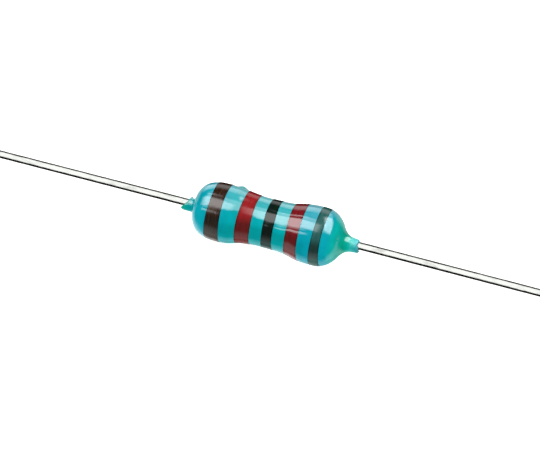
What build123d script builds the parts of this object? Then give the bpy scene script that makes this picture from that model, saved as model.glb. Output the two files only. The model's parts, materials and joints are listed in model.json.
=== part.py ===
from build123d import *
import math
import os

# Axial metal film resistor of the half watt size: a dog-bone lacquer body with five colour bands.
# Millimetres. The origin is the middle of the body, on the line of the leads.
# +X runs along the leads, from the first colour band towards the last one, and +Z is up.

# Ceramic rod
ROD_DIAMETER = 2.3
ROD_LENGTH = 7.8

# Metal film on the rod, with the helical cut that trims it to its value
FILM_THICKNESS = 0.03
TRIM_PITCH = 0.55
TRIM_WIDTH = 0.12
TRIM_RIDGE_HEIGHT = 0.12  # of the ridge that makes the cut, half of it above the film
TRIM_LAND = 0.45  # whole film left between the end of the cut and each cap

# Drawn steel caps, pressed over the ends of the rod
CAP_LENGTH = 2.2
CAP_WALL = 0.2
CAP_CORNER_RADIUS = 0.5

# Tinned copper leads, butt welded to the caps
LEAD_DIAMETER = 0.5
LEAD_LENGTH = 26.4  # from the face of the cap to the cut end
LEAD_TIP_CHAMFER = 0.04
WELD_FLARE = 0.16  # how far the foot of the lead spreads past the wire
WELD_FLARE_LENGTH = 0.8

# Lacquer, as thick as this on each of the pieces that it covers
COAT_ON_FILM = 0.26
COAT_ON_CAP = 0.36
COAT_ON_CAP_FACE = 0.36
COAT_ON_LEAD = 0.2
LIP_THICKNESS = 0.05  # where the collars on the leads end

# Lacquer over the first cap: a full dome, and a short collar that broke off on a slant
FIRST_PEAK_FROM_RIM = 0.66
DOME_POWER = 2.65
DOME_POINTS = 6
FIRST_CREST_BACK = 0.15
FIRST_CREST_DROP = 0.02
FIRST_SHOULDER_WIDTH = 0.3
FIRST_SHOULDER_DROP = 0.14
FIRST_FOOT_WIDTH = 1.15
FIRST_FOOT_RISE = 0.03
FIRST_COLLAR_LENGTH = 0.8  # on the side of the long tongue
FIRST_COLLAR_REMNANT = 0.36  # on the other side
BREAK_TURN = 31.0  # the side of the long tongue, from -Y towards -Z

# Lacquer over the last cap: a ramp on the waist side, and a cone that runs out into a long collar
LAST_PEAK_FROM_RIM = 0.93
LAST_SHOULDER_WIDTH = 0.33
LAST_SHOULDER_DROP = 0.04
LAST_RAMP_DROP = 0.13
LAST_FOOT_WIDTH = 0.9
LAST_FOOT_RISE = 0.045
CONE_TOP_BACK = 0.12
CONE_TOP_DROP = 0.23
CONE_MIDDLE_REACH = 0.36
CONE_MIDDLE_RISE = 0.7
CONE_FOOT_REACH = 0.82
CONE_FOOT_RISE = 0.27
LAST_COLLAR_LENGTH = 0.82
LAST_COLLAR_TAPER = 0.45  # slope of the collar's very end

# Colour bands: name, gap before it, and width. The first gap starts at the face of the first cap.
BAND_THICKNESS = 0.025
BANDS = (
    ("band_1_brown", 0.69, 0.85),
    ("band_2_red", 0.99, 0.84),
    ("band_3_black", 0.73, 0.64),
    ("band_4_red", 0.78, 0.81),
    ("band_5_brown", 0.80, 0.56),
)

# Sizes that follow from the driving ones
rod_radius = ROD_DIAMETER / 2
film_radius = rod_radius + FILM_THICKNESS
cap_radius = film_radius + CAP_WALL
cap_face = ROD_LENGTH / 2 + CAP_WALL
cap_rim = cap_face - CAP_LENGTH
lead_radius = LEAD_DIAMETER / 2
lead_tip = cap_face + LEAD_LENGTH
waist_radius = film_radius + COAT_ON_FILM
bulge_radius = cap_radius + COAT_ON_CAP
neck_radius = lead_radius + COAT_ON_LEAD
lip_radius = lead_radius + LIP_THICKNESS
dome_tip = cap_face + COAT_ON_CAP_FACE
first_peak = cap_rim + FIRST_PEAK_FROM_RIM
last_peak = cap_rim + LAST_PEAK_FROM_RIM
cone_foot = cap_face + CONE_FOOT_REACH
last_lip = cone_foot + LAST_COLLAR_LENGTH


def turned(*lines):
    """A solid turned about the X axis from the lines of its closed outline, one face for each."""
    edges = [edge for line in lines for edge in line.edges()]
    return revolve(make_face(edges), Axis.X, clean=False)


def turned_points(*corners):
    """A solid turned about the X axis from the corners of its outline."""
    return turned(Polyline(*corners, close=True))


def on_other_end(piece):
    """The same piece on the other end of the resistor."""
    return mirror(piece, Plane.YZ)


def ceramic_rod():
    """The plain alumina rod that carries the film."""
    half = ROD_LENGTH / 2
    return turned_points((-half, 0), (half, 0), (half, rod_radius), (-half, rod_radius))


def trim_cut():
    """A ridge wound round the rod, which passes through the film."""
    reach = cap_rim - TRIM_LAND
    helix = Helix(TRIM_PITCH, 2 * reach, film_radius, center=(-reach, 0, 0), direction=(1, 0, 0))
    start = Plane(origin=helix @ 0, x_dir=(1, 0, 0), z_dir=helix % 0)
    return sweep(start * Rectangle(TRIM_WIDTH, TRIM_RIDGE_HEIGHT), path=helix, is_frenet=True)


def resistive_film():
    """The film over the whole rod, cut into a spiral ribbon between the caps."""
    half = ROD_LENGTH / 2
    whole = turned_points(
        (-half, rod_radius), (half, rod_radius), (half, film_radius), (-half, film_radius)
    )
    return whole - trim_cut()


def end_cap():
    """The cap on the +X end, a drawn cup with its mouth towards the middle of the body."""
    inner_face = ROD_LENGTH / 2
    corner = (cap_face, cap_radius)
    outer = FilletPolyline(
        (cap_face, 0), corner, (cap_rim, cap_radius), radius=CAP_CORNER_RADIUS
    )
    inner = Polyline(
        (cap_rim, cap_radius),
        (cap_rim, film_radius),
        (inner_face, film_radius),
        (inner_face, 0),
        (cap_face, 0),
    )
    return turned(outer, inner)


def lead():
    """The wire on the +X end, with the foot that the weld spread against the cap."""
    foot = (cap_face, lead_radius + WELD_FLARE)
    wire_start = (cap_face + WELD_FLARE_LENGTH, lead_radius)
    shoulder = (lead_tip - LEAD_TIP_CHAMFER, lead_radius)
    tip = (lead_tip, lead_radius - LEAD_TIP_CHAMFER)
    flare = TangentArc(wire_start, foot, tangent=(-1, 0))
    wire = Polyline(wire_start, shoulder, tip, (lead_tip, 0), (cap_face, 0), foot)
    return turned(flare, wire)


def dome_points(skin):
    """Points of the first dome, a superellipse, from the neck up to just before the bulge's top."""
    length = dome_tip - first_peak
    height = bulge_radius + skin
    neck = math.asin((neck_radius / height) ** (DOME_POWER / 2))
    points = []
    for step in range(DOME_POINTS):
        angle = neck + (math.pi / 2 - neck) * step / DOME_POINTS
        along = length * math.cos(angle) ** (2 / DOME_POWER)
        points.append((-first_peak - along, height * math.sin(angle) ** (2 / DOME_POWER)))
    return points


def waist_points(skin):
    """Points from the first shoulder across the waist to the last shoulder, between the bulges."""
    low, high = waist_radius + skin, bulge_radius + skin
    return [
        (-cap_rim - FIRST_CREST_BACK, high - FIRST_CREST_DROP),
        (-cap_rim + FIRST_SHOULDER_WIDTH, high - FIRST_SHOULDER_DROP),
        (-cap_rim + FIRST_FOOT_WIDTH, low + FIRST_FOOT_RISE),
        (cap_rim - LAST_FOOT_WIDTH, low + LAST_FOOT_RISE),
        (cap_rim, high - LAST_RAMP_DROP),
        (cap_rim + LAST_SHOULDER_WIDTH, high - LAST_SHOULDER_DROP),
    ]


def cone_points(skin):
    """Points of the last end, from past the bulge down the cone to the foot of the collar."""
    return [
        (cap_face - CONE_TOP_BACK, bulge_radius + skin - CONE_TOP_DROP),
        (cap_face + CONE_MIDDLE_REACH, lead_radius + skin + CONE_MIDDLE_RISE),
        (cone_foot, lead_radius + skin + CONE_FOOT_RISE),
    ]


def outline(skin=0.0):
    """The lacquer's outline from the first neck to the last lip, cut at both edges of each band."""
    first_top = (-first_peak, bulge_radius + skin)
    last_top = (last_peak, bulge_radius + skin)
    lip = (last_lip, lip_radius)
    lines = [
        Spline(*dome_points(skin), first_top, tangents=[(0, 1), (1, 0)]),
        Spline(first_top, *waist_points(skin), last_top, tangents=[(1, 0), (1, 0)]),
        Spline(last_top, *cone_points(skin), lip, tangents=[(1, 0), (1, -LAST_COLLAR_TAPER)]),
    ]
    for _, low, high in band_places():
        for edge in (low, high):
            cut = Plane.YZ.offset(edge)
            lines = [piece for line in lines for piece in split(line, cut, keep=Keep.BOTH).edges()]
    return ShapeList(lines).sort_by(Axis.X)


def lacquer_blank():
    """The outer form of the lacquer as a full solid."""
    neck_x, neck_y = dome_points(0)[0]
    first_lip = (neck_x - FIRST_COLLAR_LENGTH, lip_radius)
    collar = Polyline(
        (last_lip, lip_radius), (last_lip, 0), (first_lip[0], 0), first_lip, (neck_x, neck_y)
    )
    return turned(*outline(), collar)


def collar_break():
    """What is missing from the first collar: a wedge past the slanted line of the break."""
    collar_foot = dome_points(0)[0][0]
    tongue_tip = (collar_foot - FIRST_COLLAR_LENGTH, -lip_radius)
    remnant_tip = (collar_foot - FIRST_COLLAR_REMNANT, neck_radius)
    outer_corner = (collar_foot - 2 * FIRST_COLLAR_LENGTH, neck_radius)
    wedge = make_face(Polyline(tongue_tip, remnant_tip, outer_corner, close=True))
    return Rot(BREAK_TURN, 0, 0) * extrude(wedge, neck_radius, both=True)


def coating(covered):
    """The lacquer round the pieces that it covers. The edges of the bands stay on it as seams."""
    return lacquer_blank().cut(collar_break(), *covered)


def band_places():
    """The name and both edges of each band, along the leads."""
    places = []
    last_edge = -cap_face
    for name, gap, width in BANDS:
        low = last_edge + gap
        last_edge = low + width
        places.append((name, low, last_edge))
    return places


def bands():
    """Each colour band, a ring of paint that lies on its own stretch of the lacquer."""
    lacquer_lines, paint_lines = outline(), outline(BAND_THICKNESS)
    rings = {}
    for name, low, high in band_places():
        under = [line for line in lacquer_lines if low < line.center().X < high]
        over = [line for line in paint_lines if low < line.center().X < high]
        first_side = Line(under[0] @ 0, over[0] @ 0)
        last_side = Line(under[-1] @ 1, over[-1] @ 1)
        rings[name] = turned(*under, *over, first_side, last_side)
    return rings


def resistor():
    """Every piece, by its name."""
    pieces = {
        "ceramic_rod": ceramic_rod(),
        "resistive_film": resistive_film(),
        "end_cap_left": on_other_end(end_cap()),
        "end_cap_right": end_cap(),
        "lead_left": on_other_end(lead()),
        "lead_right": lead(),
    }
    return {**pieces, "coating": coating(pieces.values()), **bands()}


os.makedirs("parts", exist_ok=True)
for node, piece in resistor().items():
    export_step(piece, f"parts/{node}.step")
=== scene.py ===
"""A metal film resistor with axial leads: turquoise lacquer, five colour bands and tinned wires."""

import json
import math

import bmesh
import bpy
from bpy.props import FloatProperty, FloatVectorProperty, PointerProperty
from mathutils import Matrix, Vector

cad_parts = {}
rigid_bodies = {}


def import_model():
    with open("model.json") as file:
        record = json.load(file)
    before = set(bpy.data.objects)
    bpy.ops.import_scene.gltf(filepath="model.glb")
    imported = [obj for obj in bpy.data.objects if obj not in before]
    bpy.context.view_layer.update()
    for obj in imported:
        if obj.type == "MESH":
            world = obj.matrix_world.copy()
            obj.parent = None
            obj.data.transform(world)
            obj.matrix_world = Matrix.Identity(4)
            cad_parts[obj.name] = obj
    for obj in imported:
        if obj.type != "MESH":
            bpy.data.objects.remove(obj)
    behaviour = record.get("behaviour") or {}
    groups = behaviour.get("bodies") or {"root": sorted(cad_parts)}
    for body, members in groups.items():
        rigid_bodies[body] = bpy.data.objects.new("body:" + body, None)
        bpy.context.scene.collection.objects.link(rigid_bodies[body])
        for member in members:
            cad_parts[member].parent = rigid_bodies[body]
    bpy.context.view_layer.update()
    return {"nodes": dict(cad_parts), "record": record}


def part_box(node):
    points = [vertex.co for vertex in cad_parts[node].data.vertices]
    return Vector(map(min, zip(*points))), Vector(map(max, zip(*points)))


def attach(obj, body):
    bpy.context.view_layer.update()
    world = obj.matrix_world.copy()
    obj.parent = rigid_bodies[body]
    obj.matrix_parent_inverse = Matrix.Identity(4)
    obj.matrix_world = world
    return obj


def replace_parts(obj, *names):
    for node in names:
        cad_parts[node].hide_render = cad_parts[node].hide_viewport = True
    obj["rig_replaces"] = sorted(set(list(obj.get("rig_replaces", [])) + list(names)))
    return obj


bl_info = {
    "name": "Metal Film Resistor",
    "version": (1, 0, 0),
    "blender": (4, 5, 0),
    "location": "View3D > Sidebar > Resistor",
    "description": "Dresses the packed model of a metal film resistor with axial leads",
    "category": "Add Mesh",
}

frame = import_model()

# The part is a few millimetres across, and Blender's unit is the metre
MM = 0.001

# Radius of the clean wire, as the record's mount on the right lead gives it
WIRE_RADIUS = next(
    mount["dims"]["r_mm"] * MM
    for mount in frame["record"]["mounts"]
    if mount["name"] == "lead_right"
)

# How far the foot of each wire tapers from the weld, and how far its cut tip is chamfered
WELD_LENGTH = 0.8 * MM
TIP_CHAMFER = 0.04 * MM

# How far each wire lies above the line of the leads as the camera sees it, in mm: where its foot
# ends, and at its tip
WIRE_RISE = {"lead_left": (-0.007, -0.04), "lead_right": (0.056, 0.02)}

# Outline of the lacquer, in mm along the leads and mm from their line, read off the photograph
FIRST_COLLAR = ((-4.98, 0.26), (-4.965, 0.335), (-4.90, 0.385), (-4.77, 0.41), (-4.62, 0.44))
FIRST_DOME = (
    (-4.51, 0.51),
    (-4.47, 0.76),
    (-4.385, 1.01),
    (-4.23, 1.255),
    (-3.985, 1.48),
    (-3.68, 1.62),
    (-3.33, 1.70),
    (-2.98, 1.73),
    (-2.62, 1.74),
    (-2.27, 1.72),
)
WAIST = (
    (-1.915, 1.679),
    (-1.51, 1.579),
    (-1.06, 1.507),
    (-0.55, 1.462),
    (0.00, 1.454),
    (0.56, 1.464),
    (1.06, 1.491),
    (1.52, 1.556),
    (1.92, 1.649),
)
LAST_DOME = (
    (2.275, 1.715),
    (2.68, 1.752),
    (3.085, 1.755),
    (3.44, 1.732),
    (3.71, 1.655),
    (3.94, 1.535),
    (4.145, 1.365),
    (4.345, 1.145),
)
CONE = (
    (4.55, 0.84),
    (4.77, 0.60),
    (5.00, 0.472),
    (5.22, 0.430),
    (5.40, 0.412),
    (5.50, 0.385),
    (5.55, 0.335),
    (5.57, 0.262),
)

# Inside of the lacquer, from the last collar to the first, in the same mm: it lies on the caps and
# the film, and just below the skin of the wires
INSIDE = (
    (5.57, 0.19),
    (4.90, 0.24),
    (4.10, 0.41),
    (4.10, 1.00),
    (3.70, 1.38),
    (1.90, 1.38),
    (1.90, 1.18),
    (-1.90, 1.18),
    (-1.90, 1.38),
    (-3.70, 1.38),
    (-4.10, 1.00),
    (-4.10, 0.41),
    (-4.80, 0.24),
    (-4.98, 0.19),
)

# Tone of the lacquer, by mm along the leads: greener where it is thin, bluer where it ran together
LACQUER_TONES = (
    (-5.3, "thin_lacquer"),
    (-4.45, "dome_lacquer"),
    (-3.7, "dome_lacquer"),
    (-3.2, "deep_lacquer"),
    (-1.9, "lacquer"),
    (1.4, "lacquer"),
    (2.5, "deep_lacquer"),
    (3.1, "deep_lacquer"),
    (3.5, "dome_lacquer"),
    (3.9, "dome_lacquer"),
    (4.25, "cone_lacquer"),
    (4.75, "thin_lacquer"),
    (5.15, "cone_lacquer"),
    (5.5, "lacquer"),
    (5.7, "lip_lacquer"),
)

# Pulls of the lacquer's skin: the place in mm along the leads and degrees round them, from +Z
# towards -Y, then the pull in mm along the leads and outwards, and its reach in mm. The swelling
# lies across the middle, where the lamp's reflection reaches further down
SWELLING = (
    (-0.35, 49.5, (0, 0.02), 0.6),
    (0.35, 49.5, (0, 0.03), 0.6),
    (1.05, 49.5, (0, 0.034), 0.6),
)
FRAYED_COLLARS = (
    (-4.98, 119, (-0.34, 0.04), 0.5),
    (-4.98, -61, (0.10, 0), 0.3),
    (-4.62, -52, (0, -0.10), 0.2),
    (-4.85, -52, (0, 0.08), 0.16),
    (-4.98, 20, (0.05, 0.02), 0.16),
    (-4.98, 65, (-0.06, 0.02), 0.14),
    (5.57, 120, (0.12, 0.02), 0.3),
    (5.57, 30, (-0.07, 0), 0.16),
    (5.57, 65, (0.05, 0.03), 0.12),
    (5.57, -40, (-0.05, 0.02), 0.14),
)

# The sag of the first end, in mm along the leads: the skin up to here sags whole, and past it less
# and less within the reach
SAG_UP_TO = -2.3
SAG_REACH = 1.1

# How finely the pieces are drawn
EDGES_BETWEEN_POINTS = 6
LACQUER_FACES_AROUND = 160
WIRE_FACES_AROUND = 64
FOOT_STATIONS = 6
WIRE_STATIONS = 60

# How far the edges of the bands wander, in mm
BAND_WANDER = 0.012

# A noise texture's values lie between these nearly everywhere
NOISE_LOW = 0.3
NOISE_HIGH = 0.7

# Direction of the camera from the part, the line of the leads as the camera sees it, and up from it
TO_CAMERA = Vector((0.2, -0.5988, 0.7755)).normalized()
ALONG_LEADS = (Vector((1, 0, 0)) - TO_CAMERA.x * TO_CAMERA).normalized()
ACROSS_LEADS = TO_CAMERA.cross(ALONG_LEADS)

# Where the camera looks at the body: the angle round the leads, in degrees from +Z towards -Y
FACING_CAMERA = 37.7

# The photograph: its width in pixels, how many of them make a mm of the part, and how many its
# middle lies to the right of the part's origin and above it
PICTURE_WIDTH = 540
PIXELS_PER_MM = 17.03
MIDDLE_FROM_ORIGIN = (1.75, -1.85)

# How far from the part the camera and the lamps stand
CAMERA_DISTANCE = 250 * MM
LAMP_DISTANCE = 400 * MM

# The photograph's lamps and cards, as their reflections show them: the middle and the spread of
# each in degrees along the leads and across them from the camera's direction, its brightness, the
# shares of it that fade out at each end and at each edge, and what it lights
SOFTBOXES = (
    ("left_softbox", (-41, 31), (84, 38), 5.6, (0.35, 0.12), "body"),
    ("left_skirt", (-20, 40), (90, 54), 4.2, (0.2, 0.2), "lacquer"),
    ("left_lower_fill", (-47, 9), (44, 12), 2.5, (0.3, 0.3), "body"),
    ("left_lower_strip", (-46, -6), (44, 9), 4.5, (0.2, 0.2), "body"),
    ("left_upper_strip", (-42, 64), (36, 7), 3.5, (0.25, 0.25), "body"),
    ("right_softbox", (35, 54), (50, 76), 8.8, (0.25, 0.22), "body"),
    ("upper_card", (-8, 76), (88, 40), 1.2, (0.25, 0.25), "lacquer"),
    ("back_card", (-24, 112), (86, 46), 3.4, (0.3, 0.4), "lacquer"),
    ("right_back_card", (74, 122), (66, 70), 0.8, (0.3, 0.3), "lacquer"),
    ("far_card", (-10, 118), (90, 40), 1.3, (0.35, 0.35), "inks"),
    ("left_end_card", (-140, -36), (60, 84), 1.0, (0.2, 0.2), "body"),
    ("right_end_card", (104, -32), (46, 70), 1.0, (0.3, 0.3), "body"),
    ("table_glow", (-10, -95), (120, 62), 0.7, (0.3, 0.3), "inks"),
    ("table_edge", (0, -120), (120, 36), 0.5, (0.3, 0.3), "lacquer"),
    ("behind_table", (0, -150), (100, 60), 0.4, (0.2, 0.2), "body"),
    ("wire_front", (-15, 9), (110, 124), 1.42, (0.1, 0.1), "wires"),
    ("wire_back", (-10, 149), (110, 60), 1.42, (0.1, 0.1), "wires"),
    ("wire_table", (-10, -155), (110, 52), 1.42, (0.1, 0.1), "wires"),
    ("wire_left_end", (-118, -20), (84, 110), 0.9, (0.2, 0.2), "wires"),
    ("wire_right_end", (112, -20), (84, 110), 0.9, (0.2, 0.2), "wires"),
)

# Soft light without reflections, by the same degrees, and its brightness: from over the camera, from
# the white table, and from the white walls past both ends
ROOM_GLOWS = (((0, 28), 2.2), ((0, -140), 3.5), ((-112, -36), 0.9), ((112, -40), 0.5))


def linear(hex_colour):
    """A colour written as sRGB hex, in Blender's linear values, by the curve of that standard."""
    values = []
    for start in (1, 3, 5):
        value = int(hex_colour[start:start + 2], 16) / 255
        values.append(value / 12.92 if value <= 0.04045 else ((value + 0.055) / 1.055) ** 2.4)
    return (*values, 1.0)


def colour_property(name, description, hex_colour):
    """A colour that the user can change in the sidebar."""
    return FloatVectorProperty(
        name=name, description=description, subtype="COLOR", size=4, min=0, max=1,
        default=linear(hex_colour),
    )


class ResistorSizes(bpy.types.PropertyGroup):
    """Sizes of the visible pieces."""

    wire_radius: FloatProperty(
        name="Wire radius",
        description="Half of the thickness of the clean wire",
        default=WIRE_RADIUS, min=0.0001, max=0.0004, precision=5, unit="LENGTH",
    )
    ink_height: FloatProperty(
        name="Ink height",
        description="How far a colour band stands above the lacquer",
        default=0.012 * MM, min=0.000002, max=0.00005, precision=6, unit="LENGTH",
    )
    unevenness: FloatProperty(
        name="Lacquer unevenness",
        description="How far the slow waves of the dipped lacquer rise and fall",
        default=0.03 * MM, min=0, max=0.0001, precision=6, unit="LENGTH",
    )
    sag: FloatProperty(
        name="Sag of the first end",
        description="How far the lacquer hangs down from the first cap and its wire",
        default=0.07 * MM, min=0, max=0.0002, precision=6, unit="LENGTH",
    )
    run_height: FloatProperty(
        name="Height of the run",
        description="How far the drop that ran down to the first shoulder stands out",
        default=0.11 * MM, min=0, max=0.0002, precision=6, unit="LENGTH",
    )


class ResistorColours(bpy.types.PropertyGroup):
    """Colours of the lacquer, the inks and the tin."""

    lacquer: colour_property("Lacquer", "Turquoise over the body", "#05ABB2")
    deep_lacquer: colour_property("Deep lacquer", "Bluer, where it ran together", "#07A3B5")
    dome_lacquer: colour_property("Dome", "Lacquer over the corners of both caps", "#08A8B7")
    cone_lacquer: colour_property("Cone", "Greener, on the last cap's face and the collar", "#0ABAB0")
    thin_lacquer: colour_property("Thin lacquer", "Green, where it runs out to the wire", "#08A58A")
    lip_lacquer: colour_property("Lip", "Greyish, where the wire shows through", "#3A8C90")
    brown: colour_property("Brown ink", "First band", "#2B241D")
    red: colour_property("Red ink", "Second and fourth bands", "#621D1C")
    black: colour_property("Black ink", "Third band", "#151D19")
    thin_brown: colour_property("Thin brown ink", "Last band, where lacquer shows through", "#213A36")
    tin: colour_property("Tin", "Plating of the wires", "#D8DAD6")


class ResistorStudio(bpy.types.PropertyGroup):
    """Light and floor of the photograph."""

    floor: colour_property("Floor", "Pale paper that the part lies on", "#FBFBFA")
    softboxes: FloatProperty(
        name="Softboxes",
        description="Strength of the lamps, as a share of the photograph's",
        default=1.0, min=0, max=4,
    )
    sky: FloatProperty(
        name="Room light",
        description="Strength of the soft light of the white room",
        default=1.0, min=0, max=4,
    )


class ResistorSettings(bpy.types.PropertyGroup):
    """All that the sidebar offers."""

    sizes: PointerProperty(type=ResistorSizes)
    colours: PointerProperty(type=ResistorColours)
    studio: PointerProperty(type=ResistorStudio)


# Mesh tools

def select_only(*objects):
    """Leaves just these objects selected, in object mode, with the first one active."""
    if bpy.context.mode != "OBJECT":
        bpy.ops.object.mode_set(mode="OBJECT")
    bpy.ops.object.select_all(action="DESELECT")
    for item in objects:
        item.select_set(True)
    if objects:
        bpy.context.view_layer.objects.active = objects[0]


def edit(piece):
    """Opens a piece in edit mode with nothing selected."""
    select_only(piece)
    bpy.ops.object.mode_set(mode="EDIT")
    bpy.ops.mesh.select_mode(type="VERT")
    bpy.ops.mesh.select_all(action="DESELECT")


def pick(piece, wanted):
    """Selects the vertices of the open piece that wanted says yes to."""
    mesh = bmesh.from_edit_mesh(piece.data)
    for vertex in mesh.verts:
        vertex.select = not vertex.hide and wanted(vertex)
    mesh.select_flush_mode()
    bmesh.update_edit_mesh(piece.data)


def close_edit():
    """Goes back to object mode."""
    bpy.ops.object.mode_set(mode="OBJECT")


def apply_modifier(piece, kind, **settings):
    """Adds a modifier to a piece and applies it."""
    select_only(piece)
    modifier = piece.modifiers.new(kind.title(), kind)
    for name, value in settings.items():
        setattr(modifier, name, value)
    bpy.ops.object.modifier_apply(modifier=modifier.name)


def smooth(piece, sharpest):
    """Shades a piece smooth, except at edges sharper than so many degrees."""
    select_only(piece)
    bpy.ops.object.shade_smooth_by_angle(angle=math.radians(sharpest))


def angle_round(point):
    """The angle of a point round the leads, from +Z towards -Y."""
    return math.atan2(-point.y, point.z)


def faces_out(normal, point):
    """Whether a normal at a point leads away from the line of the leads."""
    return normal.dot(Vector((0, point.y, point.z))) > 0


def draw_line(points):
    """A smooth line through the points, as a chain of edges in the plane of the leads and +Z."""
    select_only()
    bpy.ops.curve.primitive_bezier_curve_add(radius=MM, location=(0, 0, 0))
    line = bpy.context.object
    spline = line.data.splines[0]
    spline.bezier_points.add(len(points) - 2)
    for knot, (along, out) in zip(spline.bezier_points, points):
        knot.co = (along * MM, 0, out * MM)
    bpy.ops.object.mode_set(mode="EDIT")
    bpy.ops.curve.select_all(action="SELECT")
    bpy.ops.curve.handle_type_set(type="AUTOMATIC")
    bpy.ops.object.mode_set(mode="OBJECT")
    line.data.resolution_u = EDGES_BETWEEN_POINTS
    bpy.ops.object.convert(target="MESH")
    return bpy.context.object


def pull(piece, along, degrees, push, reach):
    """Pulls the open piece's skin at a place by so many mm, and all within reach less and less.

    The place is so many mm along the leads, at an angle from +Z towards -Y, where the skin is."""
    angle = math.radians(degrees)
    outward = Vector((0, -math.sin(angle), math.cos(angle)))
    mesh = bmesh.from_edit_mesh(piece.data)
    shown = [vertex.co.copy() for vertex in mesh.verts if not vertex.hide]
    # The nearest point of that side counts, and a step along the leads weighs four times one round
    spot = min(
        (point for point in shown if point.dot(outward) > 0),
        key=lambda point: (
            4 * abs(point.x - along * MM) + (point - point.dot(outward) * outward).yz.length
        ),
    )
    pick(piece, lambda vertex: (vertex.co - spot).length < 1e-9)
    bpy.ops.transform.translate(
        value=(push[0] * MM, push[1] * outward.y * MM, push[1] * outward.z * MM),
        use_proportional_edit=True,
        proportional_size=reach * MM,
        proportional_edit_falloff="SMOOTH",
    )


# Material tools

def add_node(tree, kind, inputs=None, **settings):
    """Adds a shader node with its settings.

    Each input is linked to a socket or to a node's first output, or is set to a plain value."""
    made = tree.nodes.new("ShaderNode" + kind)
    for name, value in settings.items():
        setattr(made, name, value)
    for key, value in (inputs or {}).items():
        named = [socket for socket in made.inputs if socket.enabled and socket.name == key]
        socket = named[0] if named else made.inputs[key]
        if isinstance(value, bpy.types.Node):
            value = next(output for output in value.outputs if output.enabled)
        if isinstance(value, bpy.types.NodeSocket):
            tree.links.new(value, socket)
        else:
            socket.default_value = value
    return made


def start_material(name):
    """An empty material, with its node tree."""
    material = bpy.data.materials.new(name)
    material.use_nodes = True
    material.node_tree.nodes.clear()
    return material, material.node_tree


def dipped_lacquer(colours):
    """Epoxy lacquer, dipped and baked: a clear gloss over slow waves, with slight changes of tone, and
    painted shade on its lower sides.
    """
    material, tree = start_material("dipped_epoxy_lacquer")
    place = add_node(tree, "TexCoord").outputs["Object"]
    axes = add_node(tree, "SeparateXYZ", {"Vector": place})
    first, last = LACQUER_TONES[0][0], LACQUER_TONES[-1][0]
    share = add_node(
        tree, "MapRange",
        {"Value": axes.outputs["X"], "From Min": first * MM, "From Max": last * MM},
    )
    tones = add_node(tree, "ValToRGB", {"Fac": share})
    stops = tones.color_ramp.elements
    stops.remove(stops[1])
    for station, colour in LACQUER_TONES:
        position = (station - first) / (last - first)
        stop = stops.new(position) if position > 0 else stops[0]
        stop.position = position
        stop.color = getattr(colours, colour)
    # Thicker and thinner patches of the dip, about 0.6 mm across
    patches = add_node(tree, "TexNoise", {"Vector": place, "Scale": 1 / (0.6 * MM), "Detail": 3.0})
    depth = add_node(
        tree, "MapRange",
        {"Value": patches, "From Min": NOISE_LOW, "From Max": NOISE_HIGH,
         "To Min": 0.9, "To Max": 1.07},
    )
    mottled = add_node(
        tree, "Mix", {"Factor": 1.0, "A": tones, "B": depth},
        data_type="RGBA", blend_type="MULTIPLY",
    )
    # Painted shade: the lacquer is darker between the ends of the body, on the sides and half as much
    # on the underside. Each span gives the mm over which that sets in
    from_middle = add_node(tree, "Math", {0: axes.outputs["X"]}, operation="ABSOLUTE")
    height = axes.outputs["Z"]
    between_ends, below_top, above_underside = (
        add_node(tree, "MapRange", span, interpolation_type="SMOOTHSTEP")
        for span in (
            {"Value": from_middle, "From Min": 3.1 * MM, "From Max": 2.4 * MM},
            {"Value": height, "From Min": 1.05 * MM, "From Max": 0.7 * MM},
            {"Value": height, "From Min": -0.3 * MM, "From Max": 0.2 * MM, "To Min": 0.5},
        )
    )
    lower = add_node(tree, "Math", {0: between_ends, 1: below_top}, operation="MULTIPLY")
    painted_shade_share = add_node(tree, "Math", {0: lower, 1: above_underside}, operation="MULTIPLY")
    # No tint where it is lit, and the painted shade multiplied in on the shaded sides
    unshaded_tint = (1, 1, 1, 1)
    painted_shade_tint = (0.86, 0.85, 0.81, 1)
    thickness = add_node(
        tree, "Mix", {"Factor": painted_shade_share, "A": unshaded_tint, "B": painted_shade_tint}, data_type="RGBA"
    )
    tone = add_node(
        tree, "Mix", {"Factor": 1.0, "A": mottled, "B": thickness},
        data_type="RGBA", blend_type="MULTIPLY",
    )
    # Glossy, but dull where the thin last of it crept along the wire
    dulled = add_node(
        tree, "MapRange",
        {"Value": axes.outputs["X"], "From Min": 5.0 * MM, "From Max": 5.2 * MM,
         "To Min": 0.06, "To Max": 0.45},
    )
    # Slow waves of the skin, about 0.5 mm long and 5 microns high
    waves = add_node(tree, "TexNoise", {"Vector": place, "Scale": 1 / (0.5 * MM), "Detail": 1.0})
    bump = add_node(tree, "Bump", {"Height": waves, "Distance": 0.005 * MM})
    shader = add_node(
        tree, "BsdfPrincipled",
        {"Base Color": tone, "Normal": bump, "IOR": 1.5, "Roughness": dulled},
    )
    add_node(tree, "OutputMaterial", {"Surface": shader})
    return material


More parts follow.
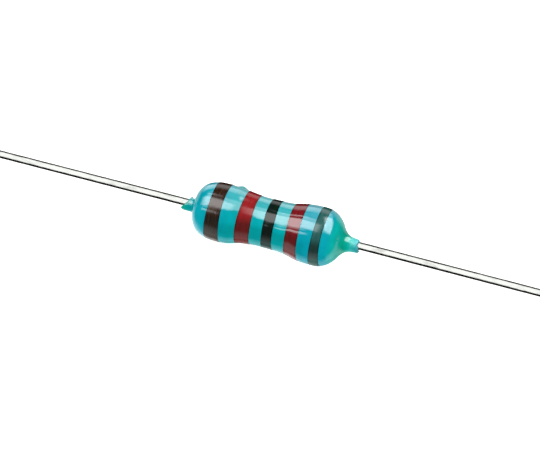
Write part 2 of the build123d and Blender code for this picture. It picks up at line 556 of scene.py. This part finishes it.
def rolled_ink(name, colour, above, below, streaks, gloss, rough):
    """Colour code ink, rolled on: streaks round the body, and a dark rim where it dried last.

    The tone above is painted light towards the top, and the tone below is painted light from the table
    towards the underside.
    Streaks is the share by which they change its tone, gloss its specular level, and rough its
    roughness where it is smoothest."""
    material, tree = start_material(name)
    place = add_node(tree, "TexCoord").outputs["Object"]
    # The streaks are about 0.12 mm wide, and six times as long round the body
    stretched = add_node(tree, "Mapping", {"Vector": place, "Scale": (1, 0.16, 0.16)})
    lines = add_node(
        tree, "TexNoise", {"Vector": stretched, "Scale": 1 / (0.12 * MM), "Detail": 3.0}
    )
    # Both painted light tones set in over these mm above the line of the leads
    height = add_node(tree, "SeparateXYZ", {"Vector": place}).outputs["Z"]
    painted_top_light_share = add_node(
        tree, "MapRange", {"Value": height, "From Min": 0.85 * MM, "From Max": 1.35 * MM},
        interpolation_type="SMOOTHSTEP",
    )
    painted_table_light_share = add_node(
        tree, "MapRange", {"Value": height, "From Min": 0.45 * MM, "From Max": -0.35 * MM},
        interpolation_type="SMOOTHSTEP",
    )
    painted_top_light = add_node(
        tree, "Mix", {"Factor": painted_top_light_share, "A": tuple(colour), "B": linear(above)}, data_type="RGBA"
    )
    body = add_node(
        tree, "Mix", {"Factor": painted_table_light_share, "A": painted_top_light, "B": linear(below)}, data_type="RGBA"
    )
    shades = add_node(
        tree, "MapRange",
        {"Value": lines, "From Min": NOISE_LOW, "From Max": NOISE_HIGH,
         "To Min": 1 - streaks, "To Max": 1 + streaks},
    )
    streaked = add_node(
        tree, "Mix", {"Factor": 1.0, "A": body, "B": shades},
        data_type="RGBA", blend_type="MULTIPLY",
    )
    # The rim is about 0.06 mm wide, and darkest at the edge
    edge = add_node(tree, "Attribute", attribute_name="from_rim", attribute_type="GEOMETRY")
    rim = add_node(
        tree, "MapRange",
        {"Value": edge.outputs["Fac"], "From Min": 0.01 * MM, "From Max": 0.07 * MM,
         "To Min": 0.35, "To Max": 1.0},
    )
    tone = add_node(
        tree, "Mix", {"Factor": 1.0, "A": streaked, "B": rim},
        data_type="RGBA", blend_type="MULTIPLY",
    )
    roughness = add_node(
        tree, "MapRange",
        {"Value": lines, "From Min": NOISE_LOW, "From Max": NOISE_HIGH,
         "To Min": rough, "To Max": rough * 1.6},
    )
    bump = add_node(tree, "Bump", {"Height": lines, "Distance": 0.02 * streaks * MM})
    shader = add_node(tree, "BsdfPrincipled", {
        "Base Color": tone, "Roughness": roughness, "Normal": bump, "IOR": 1.5,
        "Specular IOR Level": gloss,
    })
    add_node(tree, "OutputMaterial", {"Surface": shader})
    return material


def tinned_wire(colours):
    """Hot tinned copper wire, drawn and wiped: bright grey metal with faint lines along it."""
    material, tree = start_material("tinned_copper_wire")
    place = add_node(tree, "TexCoord").outputs["Object"]
    # Lines from the die, about 0.05 mm wide and twenty times as long
    drawn = add_node(tree, "Mapping", {"Vector": place, "Scale": (0.05, 1, 1)})
    lines = add_node(tree, "TexNoise", {"Vector": drawn, "Scale": 1 / (0.05 * MM), "Detail": 2.0})
    # Duller lumps of the wiped tin, about 0.25 mm wide and 12 microns high
    wiped = add_node(tree, "Mapping", {"Vector": place, "Scale": (0.3, 1, 1)})
    lumps = add_node(tree, "TexNoise", {"Vector": wiped, "Scale": 1 / (0.25 * MM), "Detail": 2.0})
    dull = add_node(tree, "MapRange", {"Value": lumps, "From Min": 0.5, "From Max": 0.75})
    tone = add_node(
        tree, "Mix", {"Factor": dull, "A": tuple(colours.tin), "B": linear("#B9BBB6")},
        data_type="RGBA",
    )
    roughness = add_node(
        tree, "MapRange",
        {"Value": lines, "From Min": NOISE_LOW, "From Max": NOISE_HIGH,
         "To Min": 0.14, "To Max": 0.22},
    )
    bump = add_node(tree, "Bump", {"Height": lumps, "Distance": 0.012 * MM})
    shader = add_node(
        tree, "BsdfPrincipled",
        {"Base Color": tone, "Metallic": 1.0, "Roughness": roughness, "Normal": bump},
    )
    add_node(tree, "OutputMaterial", {"Surface": shader})
    return material


def hidden_finish(name, pale, dark, grain_size, stretch, **shader_inputs):
    """Finish of a piece inside the lacquer: two close tones in a grain of so many mm.

    The pattern is scaled by stretch along each axis."""
    material, tree = start_material(name)
    place = add_node(tree, "TexCoord").outputs["Object"]
    stretched = add_node(tree, "Mapping", {"Vector": place, "Scale": stretch})
    grain = add_node(
        tree, "TexNoise", {"Vector": stretched, "Scale": 1 / (grain_size * MM), "Detail": 3.0}
    )
    share = add_node(tree, "MapRange", {"Value": grain, "From Min": 0.35, "From Max": 0.65})
    tone = add_node(
        tree, "Mix", {"Factor": share, "A": linear(pale), "B": linear(dark)}, data_type="RGBA"
    )
    bump = add_node(tree, "Bump", {"Height": grain, "Distance": 0.006 * MM})
    shader = add_node(tree, "BsdfPrincipled", {"Base Color": tone, "Normal": bump, **shader_inputs})
    add_node(tree, "OutputMaterial", {"Surface": shader})
    return material


def alumina():
    """Sintered alumina rod: matt white ceramic with fine grains."""
    return hidden_finish(
        "sintered_alumina", "#EDEAE2", "#DAD6CC", 0.06, (1, 1, 1), IOR=1.76, Roughness=0.55
    )


def metal_film():
    """Sputtered nickel chromium film: a thin dull grey metal that follows the rod's grain."""
    return hidden_finish(
        "sputtered_nickel_chromium", "#8C8880", "#747069", 0.06, (1, 1, 1),
        Metallic=1.0, Roughness=0.42,
    )


def plated_steel():
    """Tin plated steel cap, drawn from strip: bright, with fine lines from the die along it."""
    return hidden_finish(
        "tin_plated_steel", "#C9CAC6", "#AFB0AC", 0.08, (0.1, 1, 1),
        Metallic=1.0, Roughness=0.3,
    )


def matt_paper(studio):
    """Matt white paper, lit from all round: very pale, with a tooth drawn coarse enough to show."""
    material, tree = start_material("matt_white_paper")
    place = add_node(tree, "TexCoord").outputs["Object"]
    tooth = add_node(tree, "TexNoise", {"Vector": place, "Scale": 1 / (1.5 * MM), "Detail": 3.0})
    share = add_node(
        tree, "MapRange", {"Value": tooth, "From Min": NOISE_LOW, "From Max": NOISE_HIGH}
    )
    tone = add_node(
        tree, "Mix", {"Factor": share, "A": tuple(studio.floor), "B": linear("#F7F7F5")},
        data_type="RGBA",
    )
    shader = add_node(tree, "BsdfPrincipled", {
        "Base Color": tone, "Roughness": 0.9, "IOR": 1.5,
        "Emission Color": tuple(studio.floor), "Emission Strength": 0.85,
    })
    add_node(tree, "OutputMaterial", {"Surface": shader})
    return material


def dress(piece, name, node, material):
    """Names a finished piece, gives it its material and lets it stand for its CAD node."""
    piece.name = name
    piece.data.name = name
    piece.data.materials.clear()
    piece.data.materials.append(material)
    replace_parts(piece, node)
    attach(piece, "root")


# Pieces

class RESISTOR_OT_lacquer(bpy.types.Operator):
    """Turns the lacquer from its outline, then models its unevenness, its sag and its ragged collars"""

    bl_idname = "resistor.lacquer"
    bl_label = "Lacquer"

    def execute(self, context):
        settings = context.scene.resistor
        piece = draw_line(FIRST_COLLAR + FIRST_DOME + WAIST + LAST_DOME + CONE)
        self.close_outline(piece)
        self.turn(piece)
        self.add_unevenness(piece, settings.sizes)
        edit(piece)
        self.hide_inside(piece)
        self.sag_first_end(piece, settings.sizes)
        # The drop that ran down the far side to the first shoulder
        pull(piece, -2.0, -54, (0, settings.sizes.run_height / MM), 0.42)
        for along, degrees, push, reach in SWELLING + FRAYED_COLLARS:
            pull(piece, along, degrees, push, reach)
        bpy.ops.mesh.reveal(select=False)
        close_edit()
        smooth(piece, sharpest=50)
        dress(piece, "lacquer", "coating", dipped_lacquer(settings.colours))
        return {"FINISHED"}

    def close_outline(self, piece):
        """Extrudes the end of the outline back along the inside and joins it to the start."""
        edit(piece)
        last = CONE[-1]

        def at(vertex, spot):
            """Whether a vertex is at a spot, in mm along the leads and from their line."""
            return math.hypot(vertex.co.x / MM - spot[0], vertex.co.z / MM - spot[1]) < 1e-4

        for corner in INSIDE:
            pick(piece, lambda vertex: at(vertex, last))
            step = ((corner[0] - last[0]) * MM, 0, (corner[1] - last[1]) * MM)
            bpy.ops.mesh.extrude_region_move(TRANSFORM_OT_translate={"value": step})
            last = corner
        pick(piece, lambda vertex: at(vertex, last) or at(vertex, FIRST_COLLAR[0]))
        bpy.ops.mesh.edge_face_add()
        close_edit()

    def turn(self, piece):
        """Spins the closed outline round the leads."""
        edit(piece)
        bpy.ops.mesh.select_all(action="SELECT")
        bpy.ops.mesh.spin(
            steps=LACQUER_FACES_AROUND, angle=2 * math.pi, center=(0, 0, 0), axis=(1, 0, 0)
        )
        bpy.ops.mesh.select_all(action="SELECT")
        bpy.ops.mesh.remove_doubles(threshold=1e-6)
        bpy.ops.mesh.normals_make_consistent(inside=False)
        close_edit()

    def add_unevenness(self, piece, sizes):
        """Lets slow waves rise and fall on the outer skin, from nothing at the collars."""
        widest_collar = 0.42 * MM
        waves_start = 0.4 * MM
        waves_grow_over = 0.5 * MM
        wave_length = 1.6 * MM
        skin = piece.vertex_groups.new(name="skin")
        for vertex in piece.data.vertices:
            out = math.hypot(vertex.co.y, vertex.co.z)
            if out > widest_collar and faces_out(vertex.normal, vertex.co):
                share = min(1.0, (out - waves_start) / waves_grow_over)
                skin.add([vertex.index], share, "REPLACE")
        texture = bpy.data.textures.new("slow_waves", "CLOUDS")
        texture.noise_scale = wave_length
        texture.noise_depth = 1
        apply_modifier(
            piece, "DISPLACE", texture=texture, texture_coords="LOCAL", direction="NORMAL",
            strength=sizes.unevenness, mid_level=0.5, vertex_group="skin",
        )

    def hide_inside(self, piece):
        """Hides the inner wall of the open piece, so that only the skin is pulled."""
        pick(piece, lambda vertex: not faces_out(vertex.normal, vertex.co))
        bpy.ops.mesh.hide(unselected=False)

    def sag_first_end(self, piece, sizes):
        """Lowers the first end's skin as the camera sees it, less and less towards the waist."""
        pick(piece, lambda vertex: vertex.co.x < SAG_UP_TO * MM)
        bpy.ops.transform.translate(
            value=-sizes.sag * ACROSS_LEADS,
            use_proportional_edit=True,
            proportional_size=SAG_REACH * MM,
            proportional_edit_falloff="SMOOTH",
        )


class RESISTOR_OT_bands(bpy.types.Operator):
    """Cuts each colour band from a copy of the lacquer's skin and gives it the thickness of the ink"""

    bl_idname = "resistor.bands"
    bl_label = "Colour bands"

    def execute(self, context):
        colours = context.scene.resistor.colours
        # Each ink's tone above is painted light on the top, and its tone below is painted light from
        # the table
        brown = rolled_ink(
            "brown_band_ink", colours.brown, above="#362013", below="#3C3228",
            streaks=0.30, gloss=0.55, rough=0.14,
        )
        red = rolled_ink(
            "red_band_ink", colours.red, above="#981A1E", below="#702421",
            streaks=0.10, gloss=0.38, rough=0.12,
        )
        glossy_red = rolled_ink(
            "glossy_red_band_ink", colours.red, above="#7E1820", below="#702425",
            streaks=0.10, gloss=0.75, rough=0.08,
        )
        black = rolled_ink(
            "black_band_ink", colours.black, above="#0E1F18", below="#1E403C",
            streaks=0.10, gloss=0.34, rough=0.10,
        )
        thin_brown = rolled_ink(
            "thin_brown_band_ink", colours.thin_brown, above="#29605C", below="#2C5650",
            streaks=0.14, gloss=0.5, rough=0.14,
        )
        self.band("band_1_brown", "brown_ink", brown, lean=(-0.03, 0.02), phase=1.0)
        self.band("band_2_red", "red_ink", red, lean=(-0.06, -0.01), phase=2.4)
        self.band("band_3_black", "black_ink", black, lean=(-0.01, 0.02), phase=4.1)
        self.band("band_4_red", "red_ink", glossy_red, lean=(0.0, 0.02), phase=5.5)
        self.band("band_5_brown", "thin_brown_ink", thin_brown, lean=(-0.03, 0.02), phase=0.3)
        return {"FINISHED"}

    def band(self, node, slot, material, lean, phase):
        """Makes one band where its CAD node is. Both edges lean by so many mm, and wander a little."""
        low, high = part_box(node)
        lacquer = bpy.data.objects["lacquer"]
        select_only(lacquer)
        bpy.ops.object.duplicate()
        piece = bpy.context.object
        # The copy still stands for the lacquer's node and rides where it does
        del piece["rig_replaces"]
        piece.parent = None

        def wave(point, side):
            """How far this side's edge is from its place along the leads, at the point's angle."""
            turn = angle_round(point)
            leaning = lean[side] * math.sin(turn - math.radians(FACING_CAMERA))
            return MM * (leaning + BAND_WANDER * math.sin(3 * turn + phase + 2 * side))

        self.cut(piece, low.x, wave, 0)
        self.cut(piece, high.x, wave, 1)
        edit(piece)
        bpy.ops.mesh.select_mode(type="FACE")
        mesh = bmesh.from_edit_mesh(piece.data)
        for face in mesh.faces:
            face.select = not faces_out(face.normal, face.calc_center_median())
        bmesh.update_edit_mesh(piece.data)
        bpy.ops.mesh.delete(type="FACE")
        close_edit()
        distance = piece.data.attributes.new("from_rim", "FLOAT", "POINT")
        for vertex in piece.data.vertices:
            first = vertex.co.x - low.x - wave(vertex.co, 0)
            last = high.x + wave(vertex.co, 1) - vertex.co.x
            distance.data[vertex.index].value = max(0.0, min(first, last))
        ink_height = bpy.context.scene.resistor.sizes.ink_height
        apply_modifier(piece, "SOLIDIFY", thickness=ink_height, offset=1.0)
        smooth(piece, sharpest=50)
        dress(piece, "ink_" + node, node, material)

    def cut(self, piece, edge, wave, side):
        """Cuts the piece along a wandering line, straight while the piece is shifted by the wander."""
        for vertex in piece.data.vertices:
            vertex.co.x -= wave(vertex.co, side)
        edit(piece)
        bpy.ops.mesh.select_all(action="SELECT")
        bpy.ops.mesh.bisect(
            plane_co=(edge, 0, 0), plane_no=(1, 0, 0), clear_inner=side == 0,
            clear_outer=side == 1, threshold=1e-7,
        )
        close_edit()
        for vertex in piece.data.vertices:
            vertex.co.x += wave(vertex.co, side)


class RESISTOR_OT_leads(bpy.types.Operator):
    """Draws out both wires from the welds at the caps to their sheared tips"""

    bl_idname = "resistor.leads"
    bl_label = "Leads"

    def execute(self, context):
        settings = context.scene.resistor
        tin = tinned_wire(settings.colours)
        for side, node in ((-1, "lead_left"), (1, "lead_right")):
            piece = self.wire(side, node, settings.sizes.wire_radius)
            dress(piece, "tinned_" + node, node, tin)
        return {"FINISHED"}

    def wire(self, side, node, radius):
        """Extrudes a ring from the weld's foot to the wire's tip, on the side that is -1 or 1."""
        low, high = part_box(node)
        foot_rise, tip_rise = WIRE_RISE[node]
        foot_at, tip_at = (high.x, low.x) if side < 0 else (low.x, high.x)
        foot = high.z
        select_only()
        bpy.ops.mesh.primitive_circle_add(
            vertices=WIRE_FACES_AROUND, radius=foot, location=(foot_at, 0, 0),
            rotation=(0, math.pi / 2, 0), fill_type="NGON",
        )
        piece = bpy.context.object
        bpy.ops.object.transform_apply(location=True, rotation=True, scale=True)
        # The place along the leads, the radius and the rise of each ring
        stations = []
        for step in range(1, FOOT_STATIONS + 1):
            share = step / FOOT_STATIONS
            out = foot + (radius - foot) * (1 - (1 - share) ** 2)
            stations.append((foot_at + side * WELD_LENGTH * share, out, foot_rise * share))
        start = stations[-1][0]
        end = tip_at - side * TIP_CHAMFER
        for step in range(1, WIRE_STATIONS + 1):
            share = step / WIRE_STATIONS
            up = foot_rise + (tip_rise - foot_rise) * share
            stations.append((start + (end - start) * share, radius, up))
        stations.append((tip_at, radius - TIP_CHAMFER, tip_rise))
        at, out, up = foot_at, foot, 0.0
        edit(piece)
        bpy.ops.mesh.select_all(action="SELECT")
        for next_at, next_out, next_up in stations:
            move = Vector((next_at - at, 0, 0)) + (next_up - up) * MM * ACROSS_LEADS
            bpy.ops.mesh.extrude_region_move(TRANSFORM_OT_translate={"value": move})
            middle = Vector((next_at, 0, 0)) + next_up * MM * ACROSS_LEADS
            growth = next_out / out
            bpy.ops.transform.resize(value=(1, growth, growth), center_override=middle)
            at, out, up = next_at, next_out, next_up
        bpy.ops.mesh.select_all(action="SELECT")
        bpy.ops.mesh.normals_make_consistent(inside=False)
        close_edit()
        smooth(piece, sharpest=40)
        return piece


class RESISTOR_OT_insides(bpy.types.Operator):
    """Gives the rod, the film and the caps inside the lacquer their own finishes"""

    bl_idname = "resistor.insides"
    bl_label = "Rod, film and caps"

    def execute(self, context):
        steel = plated_steel()
        finishes = {
            "ceramic_rod": alumina(),
            "resistive_film": metal_film(),
            "end_cap_left": steel,
            "end_cap_right": steel,
        }
        for node, material in finishes.items():
            slots = frame["nodes"][node].data.materials
            slots.clear()
            slots.append(material)
        return {"FINISHED"}


class RESISTOR_OT_stage(bpy.types.Operator):
    """Sets up the pale floor, the softboxes, the white room and the camera of the photograph"""

    bl_idname = "resistor.stage"
    bl_label = "Studio"

    def execute(self, context):
        studio = context.scene.resistor.studio
        self.floor(studio)
        self.softboxes(studio)
        self.room(context.scene, studio)
        self.camera(context.scene)
        context.scene.view_settings.view_transform = "Standard"
        return {"FINISHED"}

    def floor(self, studio):
        """Lays the paper under the lowest point of the lacquer."""
        lowest = min(vertex.co.z for vertex in bpy.data.objects["lacquer"].data.vertices)
        select_only()
        bpy.ops.mesh.primitive_plane_add(size=3.0, location=(0, 0, lowest - 0.01 * MM))
        paper = bpy.context.object
        bpy.ops.object.transform_apply(location=True, rotation=True, scale=True)
        paper.name = "paper_floor"
        paper.data.materials.append(matt_paper(studio))
        # The light of the room already holds what the paper throws back
        paper.visible_diffuse = False
        paper.visible_glossy = False
        paper.visible_shadow = False

    def softboxes(self, studio):
        """Hangs the lamps where their reflections on the lacquer and the wires say that they were."""
        # What each kind of lamp lights, by the start of the pieces' names
        name_starts = {
            "lacquer": ("lacquer",),
            "inks": ("ink_",),
            "body": ("lacquer", "ink_"),
            "wires": ("tinned_",),
        }
        lit = {}
        for name, starts in name_starts.items():
            lit[name] = bpy.data.collections.new("lit_" + name)
            for piece in bpy.data.objects:
                if piece.name.startswith(starts):
                    lit[name].objects.link(piece)
        for name, middle, spread, brightness, soft, lights in SOFTBOXES:
            self.lamp(name, middle, spread, brightness * studio.softboxes, soft, lit[lights])

    def lamp(self, name, middle, spread, brightness, soft, lit):
        """One rectangular lamp, its middle and spread in degrees along the leads and across them.

        The middle is counted from the camera's direction. The lamp fades over the outer shares soft
        of its width and height, and lights the collection lit alone."""
        away = self.direction(*middle)
        side = self.direction(middle[0] + 1, middle[1]) - self.direction(middle[0] - 1, middle[1])
        side = (side - side.dot(away) * away).normalized()
        select_only()
        bpy.ops.object.light_add(type="AREA", location=LAMP_DISTANCE * away)
        lamp = bpy.context.object
        lamp.name = name
        lamp.rotation_euler = Matrix((side, away.cross(side), away)).transposed().to_euler()
        lamp.data.shape = "RECTANGLE"
        lamp.data.size = 2 * LAMP_DISTANCE * math.tan(math.radians(spread[0] / 2))
        lamp.data.size_y = 2 * LAMP_DISTANCE * math.tan(math.radians(spread[1] / 2))
        lamp.data.energy = brightness * math.pi * lamp.data.size * lamp.data.size_y
        lamp.visible_camera = False
        lamp.visible_diffuse = False
        lamp.light_linking.receiver_collection = lit
        self.fade(lamp.data, soft)

    def fade(self, light, soft):
        """Fades a lamp towards its rim, as the cloth of a softbox does."""
        light.use_nodes = True
        tree = light.node_tree
        tree.nodes.clear()
        place = add_node(
            tree, "SeparateXYZ", {"Vector": add_node(tree, "NewGeometry").outputs["Parametric"]}
        )
        shares = []
        for axis, share in zip(("X", "Y"), soft):
            off_middle = add_node(
                tree, "Math", {0: place.outputs[axis], 1: 0.5}, operation="SUBTRACT"
            )
            distance = add_node(tree, "Math", {0: off_middle}, operation="ABSOLUTE")
            shares.append(add_node(
                tree, "MapRange",
                {"Value": distance, "From Min": 0.5 - share, "From Max": 0.5,
                 "To Min": 1.0, "To Max": 0.0},
                interpolation_type="SMOOTHSTEP",
            ))
        both = add_node(tree, "Math", {0: shares[0], 1: shares[1]}, operation="MULTIPLY")
        glow = add_node(tree, "Emission", {"Strength": both})
        add_node(tree, "OutputLight", {"Surface": glow})

    def direction(self, along, across):
        """The direction so many degrees from the camera's, along the leads and across them."""
        turn = math.radians(math.hypot(along, across))
        sideways = along * ALONG_LEADS + across * ACROSS_LEADS
        if sideways.length < 1e-9:
            return TO_CAMERA.copy()
        return math.cos(turn) * TO_CAMERA + math.sin(turn) * sideways.normalized()

    def room(self, scene, studio):
        """Fills the room with soft white light from over the camera, the table and the walls."""
        world = bpy.data.worlds.new("white_room")
        scene.world = world
        world.use_nodes = True
        tree = world.node_tree
        tree.nodes.clear()
        place = add_node(tree, "TexCoord").outputs["Generated"]
        # Each glow falls off with the squared cosine of the angle from its middle
        glows = []
        for middle, brightness in ROOM_GLOWS:
            towards = add_node(
                tree, "VectorMath", {0: place, 1: self.direction(*middle)}, operation="DOT_PRODUCT"
            )
            facing = add_node(tree, "Math", {0: towards, 1: 0.0}, operation="MAXIMUM")
            softened = add_node(tree, "Math", {0: facing, 1: 2.0}, operation="POWER")
            glows.append(add_node(
                tree, "Math", {0: softened, 1: brightness * studio.sky}, operation="MULTIPLY"
            ))
        strength = glows[0]
        for glow in glows[1:]:
            strength = add_node(tree, "Math", {0: strength, 1: glow}, operation="ADD")
        # Where the camera sees past the paper, the wall is as white as it
        seen = add_node(tree, "LightPath").outputs["Is Camera Ray"]
        strength = add_node(tree, "Math", {0: strength, 1: seen}, operation="MAXIMUM")
        light = add_node(tree, "Background", {"Color": (1, 1, 1, 1), "Strength": strength})
        add_node(tree, "OutputWorld", {"Surface": light})
        world.cycles_visibility.glossy = False

    def camera(self, scene):
        """Looks at the part as the photograph does, through a long lens."""
        sensor_width = 36
        select_only()
        right = Vector((-TO_CAMERA.y, TO_CAMERA.x, 0)).normalized()
        above = TO_CAMERA.cross(right)
        pixels_right, pixels_up = MIDDLE_FROM_ORIGIN
        aim = (pixels_right * right + pixels_up * above) / PIXELS_PER_MM * MM
        bpy.ops.object.camera_add(location=aim + TO_CAMERA * CAMERA_DISTANCE)
        camera = bpy.context.object
        camera.name = "photograph_camera"
        camera.rotation_euler = Matrix((right, above, TO_CAMERA)).transposed().to_euler()
        camera.data.sensor_width = sensor_width
        camera.data.lens = sensor_width * PIXELS_PER_MM * CAMERA_DISTANCE / MM / PICTURE_WIDTH
        camera.data.clip_start = 0.005
        camera.data.clip_end = 10
        camera.data.dof.use_dof = False
        scene.camera = camera


STEPS = (
    RESISTOR_OT_lacquer,
    RESISTOR_OT_bands,
    RESISTOR_OT_leads,
    RESISTOR_OT_insides,
    RESISTOR_OT_stage,
)


class RESISTOR_PT_panel(bpy.types.Panel):
    """Lists the steps and the values of the resistor"""

    bl_label = "Metal Film Resistor"
    bl_idname = "RESISTOR_PT_panel"
    bl_space_type = "VIEW_3D"
    bl_region_type = "UI"
    bl_category = "Resistor"

    def draw(self, context):
        settings = context.scene.resistor
        for step in STEPS:
            self.layout.operator(step.bl_idname)
        for group in (settings.sizes, settings.colours, settings.studio):
            box = self.layout.box()
            for name in group.bl_rna.properties.keys():
                if name not in ("rna_type", "name"):
                    box.prop(group, name)


CLASSES = (
    ResistorSizes,
    ResistorColours,
    ResistorStudio,
    ResistorSettings,
    *STEPS,
    RESISTOR_PT_panel,
)


def register():
    """Registers the classes and hangs the settings on the scene."""
    for item in CLASSES:
        bpy.utils.register_class(item)
    bpy.types.Scene.resistor = PointerProperty(type=ResistorSettings)


def unregister():
    """Takes the settings and the classes away again."""
    del bpy.types.Scene.resistor
    for item in reversed(CLASSES):
        bpy.utils.unregister_class(item)


def main():
    """Makes every piece and the stage."""
    register()
    bpy.ops.resistor.lacquer()
    bpy.ops.resistor.bands()
    bpy.ops.resistor.leads()
    bpy.ops.resistor.insides()
    bpy.ops.resistor.stage()


if __name__ == "__main__":
    main()
